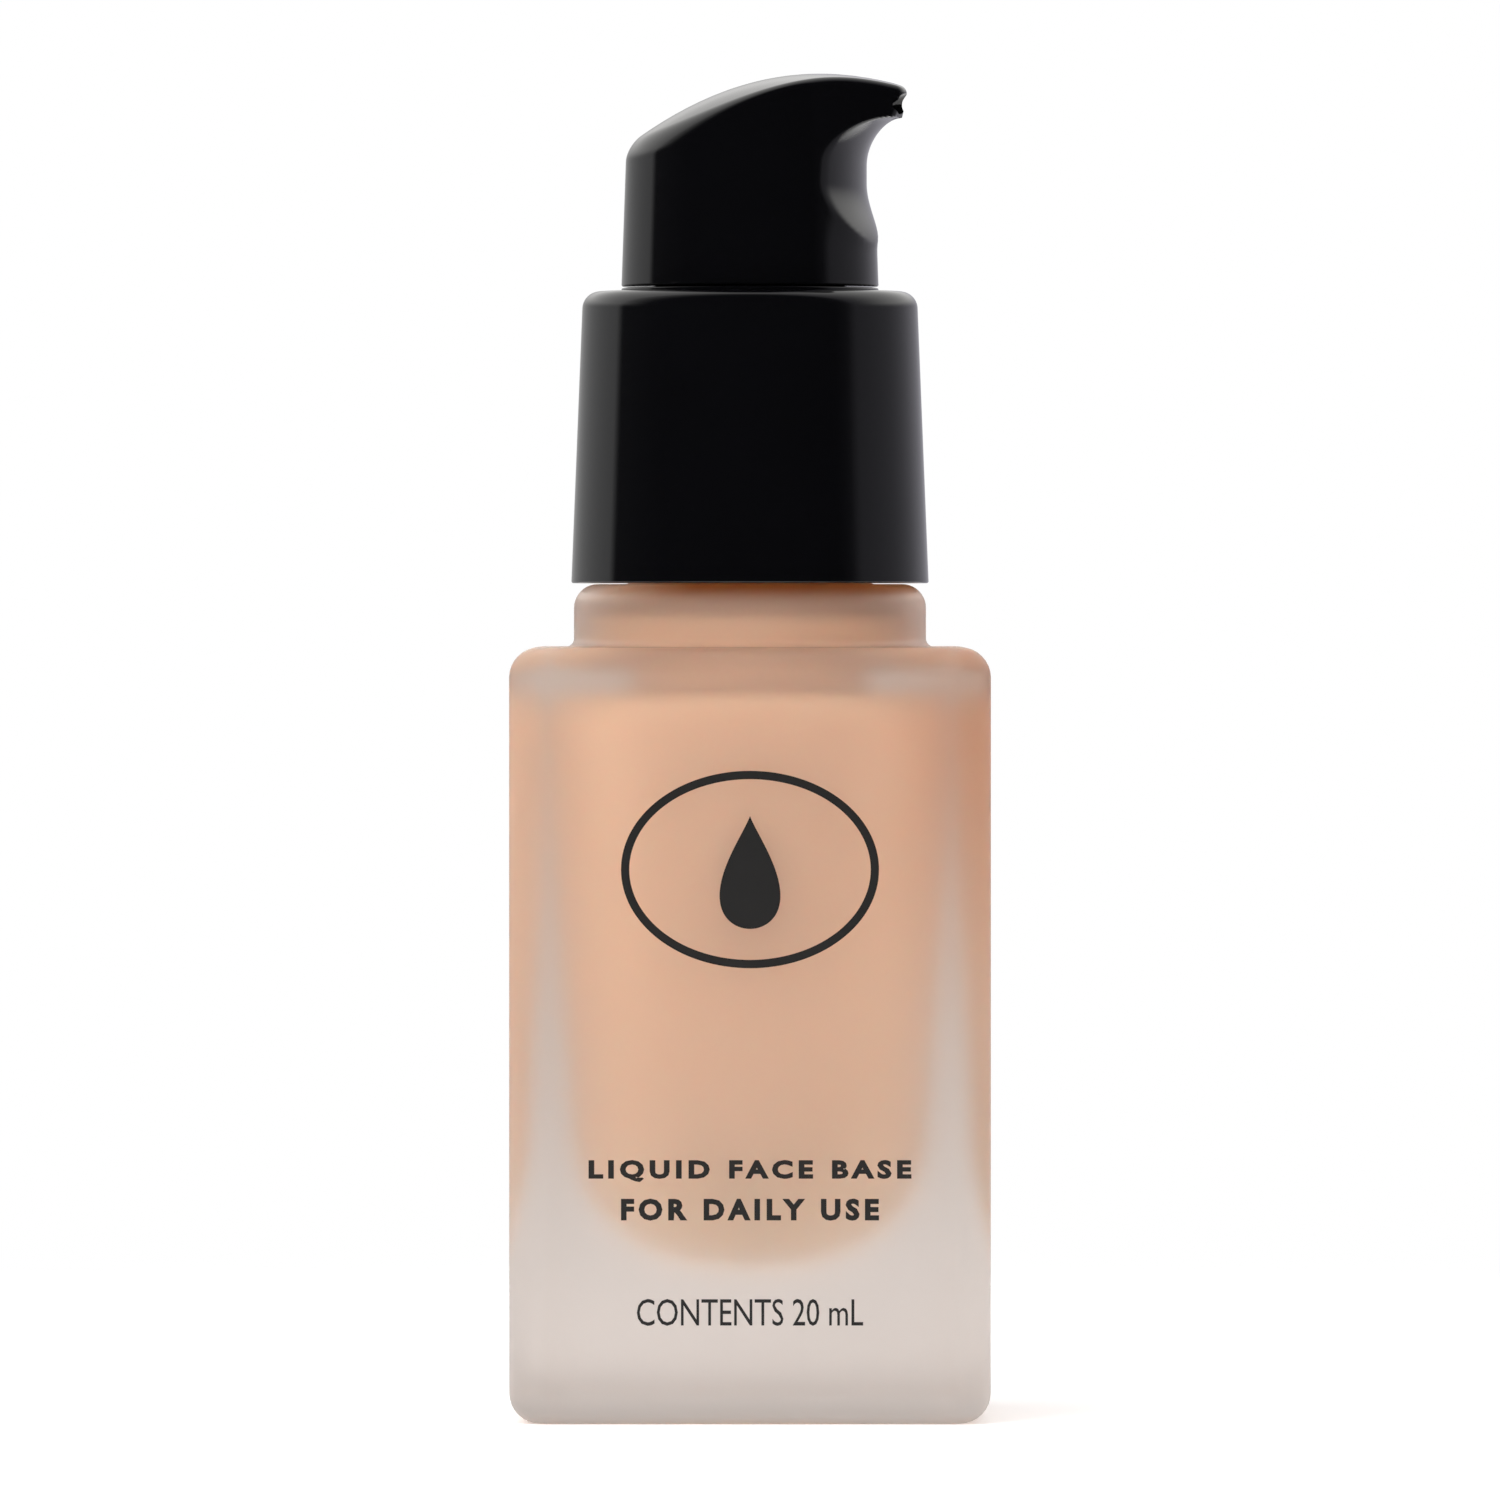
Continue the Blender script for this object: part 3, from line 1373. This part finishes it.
    def core(self) -> Skin:
        """The core that takes the stem and carries the shell.

        Returns:
            A turned loop: skirt, shelf, sleeve, spigot, channel, stem socket and hollow.
        """
        shelf = self.seam - 0.1
        hollow = self.skirt - self.skirt_wall
        sleeve = self.cavity - self.fit
        sleeve_bore = sleeve - self.sleeve_wall
        sleeve_top = self.cavity_top - self.sleeve_drop
        neck_top = self.cavity_top - self.fit
        spigot, spigot_top = self.spigot - self.fit / 2, self.spigot_top - self.fit
        return turned(filleted([
            (hollow, self.skirt_bottom, 0.15), (self.skirt, self.skirt_bottom, 0.25),
            (self.skirt, shelf, 0.12), (sleeve, shelf, 0.1), (sleeve, sleeve_top, 0.3),
            (self.neck, sleeve_top, 0.2), (self.neck, neck_top, 0.2), (spigot, neck_top, 0.1),
            (spigot, spigot_top, 0.2), (self.channel, spigot_top, 0.1),
            (self.channel, self.stem_socket_top, 0.05), (self.stem_socket, self.stem_socket_top, 0.05),
            (self.stem_socket, self.column_bottom, 0.15), (self.column, self.column_bottom, 0.2),
            (self.column, sleeve_top - 1, 0.3), (sleeve_bore, sleeve_top - 1, 0.3),
            (sleeve_bore, shelf - 1, 0.2), (hollow, shelf - 1, 0.2)], 5), Ends.LOOP, 192)

    def build(self) -> None:
        """Places the core and the shell."""
        place(self.core().mesh("head_core"), GLOSS_BLACK, Body.HEAD, Slot.BLACK, ["actuator_core"])
        place(self.pierced_shell(), GLOSS_BLACK, Body.HEAD, Slot.BLACK, ["actuator_shell"])


# ---- Studio ------------------------------------------------------------------------------------


@dataclass
class Studio:
    """A white sweep, black flags in front and white ones behind. Sizes in metres."""

    floor_radius: float = 0.28
    floor_solid: float = 0.12
    camera_distance: float = 1.2
    camera_height: float = 0.060
    target_height: float = 0.0488
    lens: float = 391.7
    key_place: tuple[float, float, float] = (-0.5, -0.7, 0.7)
    key_size: float = 0.6
    key_watts: float = 4.0
    board_glow: float = 0.26
    round_light: tuple[tuple[float, float], ...] = (
        (-180, 0.5), (-140, 0.55), (-104, 0.66), (-98, 0.04), (-60, 0.006), (60, 0.006), (70, 0.05),
        (78, 0.26), (110, 0.33), (140, 0.5), (180, 0.5))
    cool_from: float = 60.0
    cool: float = 0.08

    def floor(self) -> None:
        """Lays a pale round floor that fades out before its edge."""
        rim = self.floor_radius / MM
        rows = np.array([[0.5, -0.5], [rim, -0.5], [rim, 0.0], [0.5, 0.0]])
        made = turned(rows, Ends.POLES, 96).mesh("floor")
        material = bpy.data.materials.new("Matt white studio board")
        material.use_nodes = True
        tree = material.node_tree
        shader = tree.nodes["Principled BSDF"]
        shader.inputs["Base Color"].default_value = linear("#FCFBFB")
        shader.inputs["Roughness"].default_value = 0.7
        shader.inputs["Emission Color"].default_value = linear("#FFFFFF")
        shader.inputs["Emission Strength"].default_value = self.board_glow
        spot = add_node(tree, "ShaderNodeTexCoord").outputs["Object"]
        away = add_node(tree, "ShaderNodeVectorMath", {"operation": "LENGTH"}, _0=spot).outputs["Value"]
        fade = add_node(tree, "ShaderNodeMapRange", SMOOTH, Value=away, From_Min=self.floor_solid,
                        From_Max=self.floor_radius * 0.97, To_Min=1.0, To_Max=0.0)
        tree.links.new(fade.outputs["Result"], shader.inputs["Alpha"])
        made.materials.append(material)
        thing = bpy.data.objects.new("floor", made)
        bpy.context.scene.collection.objects.link(thing)

    def ramp(self, tree: bpy.types.NodeTree, parts: bpy.types.Node) -> bpy.types.NodeSocket:
        """Colour of the surroundings round the horizon, by angle from the front, left negative.

        Args:
            tree: The world's node tree.
            parts: Node with the direction's X, Y and Z.

        Returns:
            The colour socket.
        """
        towards = add_node(tree, "ShaderNodeMath", {"operation": "MULTIPLY"}, _0=parts.outputs["Y"],
                           _1=-1.0)
        angle = add_node(tree, "ShaderNodeMath", {"operation": "ARCTAN2"}, _0=parts.outputs["X"],
                         _1=towards.outputs[0])
        share = add_node(tree, "ShaderNodeMapRange", Value=angle.outputs[0], From_Min=-math.pi,
                         From_Max=math.pi, To_Min=0.0, To_Max=1.0)
        made = add_node(tree, "ShaderNodeValToRGB", Fac=share.outputs["Result"])
        elements = made.color_ramp.elements
        while len(elements) < len(self.round_light):
            elements.new(0.5)
        for element, (degrees, level) in zip(elements, self.round_light):
            element.position = (degrees + 180) / 360
            cool = self.cool if degrees > self.cool_from else 0.0
            element.color = (level, level * (1 - cool / 4), level * (1 + cool), 1)
        return made.outputs["Color"]

    def reflected(self, tree: bpy.types.NodeTree, parts: bpy.types.Node) -> bpy.types.NodeSocket:
        """What glossy surfaces see: the ramp, a bright top at the back and a grey ground.

        Args:
            tree: The world's node tree.
            parts: Node with the direction's X, Y and Z.

        Returns:
            The colour socket.
        """
        high = add_node(tree, "ShaderNodeMapRange", SMOOTH, Value=parts.outputs["Z"], From_Min=0.06,
                        From_Max=0.32, To_Min=0.0, To_Max=1.0)
        behind = add_node(tree, "ShaderNodeMapRange", SMOOTH, Value=parts.outputs["Y"], From_Min=-0.3,
                          From_Max=0.5, To_Min=0.0, To_Max=1.0)
        up = add_node(tree, "ShaderNodeMath", {"operation": "MULTIPLY"}, _0=high.outputs["Result"],
                      _1=behind.outputs["Result"])
        down = add_node(tree, "ShaderNodeMapRange", SMOOTH, Value=parts.outputs["Z"], From_Min=-0.75,
                        From_Max=-0.3, To_Min=1.0, To_Max=0.0)
        top = add_node(tree, "ShaderNodeMix", {"data_type": "RGBA"}, _0=up.outputs[0],
                       _6=self.ramp(tree, parts), _7=(1.25, 1.24, 1.22, 1))
        ground = add_node(tree, "ShaderNodeMix", {"data_type": "RGBA"}, _0=down.outputs["Result"],
                          _6=top.outputs[2], _7=(0.8, 0.8, 0.8, 1))
        return ground.outputs[2]

    def soft_light(self, tree: bpy.types.NodeTree, parts: bpy.types.Node) -> bpy.types.NodeSocket:
        """Light on matt surfaces and through the glass, strongest from the front and the left.

        Args:
            tree: The world's node tree.
            parts: Node with the direction's X, Y and Z.

        Returns:
            The level's socket.
        """
        front = add_node(tree, "ShaderNodeMapRange", SMOOTH, Value=parts.outputs["Y"], From_Min=-0.6,
                         From_Max=0.4, To_Min=1.93, To_Max=0.57)
        left = add_node(tree, "ShaderNodeMapRange", Value=parts.outputs["X"], From_Min=-0.8, From_Max=0.8,
                        To_Min=1.08, To_Max=0.68)
        both = add_node(tree, "ShaderNodeMath", {"operation": "MULTIPLY"}, _0=front.outputs["Result"],
                        _1=left.outputs["Result"])
        return both.outputs[0]

    def surroundings(self) -> None:
        """Sets the world: white to the camera, and to reflections a dark front and bright sides."""
        world = bpy.data.worlds.new("studio")
        bpy.context.scene.world = world
        world.use_nodes = True
        tree = world.node_tree
        tree.nodes.clear()
        way = add_node(tree, "ShaderNodeTexCoord").outputs["Generated"]
        parts = add_node(tree, "ShaderNodeSeparateXYZ", Vector=way)
        ray = add_node(tree, "ShaderNodeLightPath")
        soft = add_node(tree, "ShaderNodeMath", {"operation": "MAXIMUM"}, _0=ray.outputs["Is Diffuse Ray"],
                        _1=ray.outputs["Is Transmission Ray"])
        lit = add_node(tree, "ShaderNodeMix", {"data_type": "RGBA"}, _0=soft.outputs[0],
                       _6=self.reflected(tree, parts), _7=self.soft_light(tree, parts))
        seen = add_node(tree, "ShaderNodeMix", {"data_type": "RGBA"}, _0=ray.outputs["Is Camera Ray"],
                        _6=lit.outputs[2], _7=(1, 1, 1, 1))
        back = add_node(tree, "ShaderNodeBackground", Color=seen.outputs[2], Strength=1.0)
        out = add_node(tree, "ShaderNodeOutputWorld")
        tree.links.new(back.outputs["Background"], out.inputs["Surface"])
        bpy.context.scene.view_settings.view_transform = "Standard"

    def lamp(self, name: str, at: tuple[float, float, float], size: float, watts: float) -> None:
        """Adds a soft square lamp aimed at the bottle's middle.

        Args:
            name: Its name.
            at: Its place, metres.
            size: Side of the square, metres.
            watts: Power.
        """
        data = bpy.data.lights.new(name, "AREA")
        data.size = size
        data.energy = watts
        thing = bpy.data.objects.new(name, data)
        bpy.context.scene.collection.objects.link(thing)
        thing.location = at
        aim = np.array([0, 0, self.target_height]) - np.array(at)
        flat = math.hypot(aim[0], aim[1])
        thing.rotation_euler = (math.atan2(flat, -aim[2]), 0, math.atan2(aim[1], aim[0]) - math.pi / 2)
        thing.visible_glossy = False
        thing.visible_transmission = False

    def camera(self) -> None:
        """Sets the camera in front of the bottle, a little over its middle."""
        data = bpy.data.cameras.new("camera")
        data.lens = self.lens
        data.sensor_width = 36
        data.clip_start = 0.05
        thing = bpy.data.objects.new("camera", data)
        bpy.context.scene.collection.objects.link(thing)
        thing.location = (0, -self.camera_distance, self.camera_height)
        dip = math.atan2(self.camera_height - self.target_height, self.camera_distance)
        thing.rotation_euler = (math.pi / 2 - dip, 0, 0)
        bpy.context.scene.camera = thing

    def build(self) -> None:
        """Builds the whole studio."""
        self.floor()
        self.surroundings()
        self.lamp("key", self.key_place, self.key_size, self.key_watts)
        self.camera()


def main() -> None:
    """Builds the bottle on its modelled frame and sets the studio round it."""
    logging.basicConfig(level=logging.INFO, format="%(name)s %(message)s")
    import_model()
    GlassBottle().build()
    Print().build()
    Closure().build()
    PumpEngine().build()
    StemGroup().build()
    PumpHead().build()
    Studio().build()


if __name__ == "__main__":
    main()
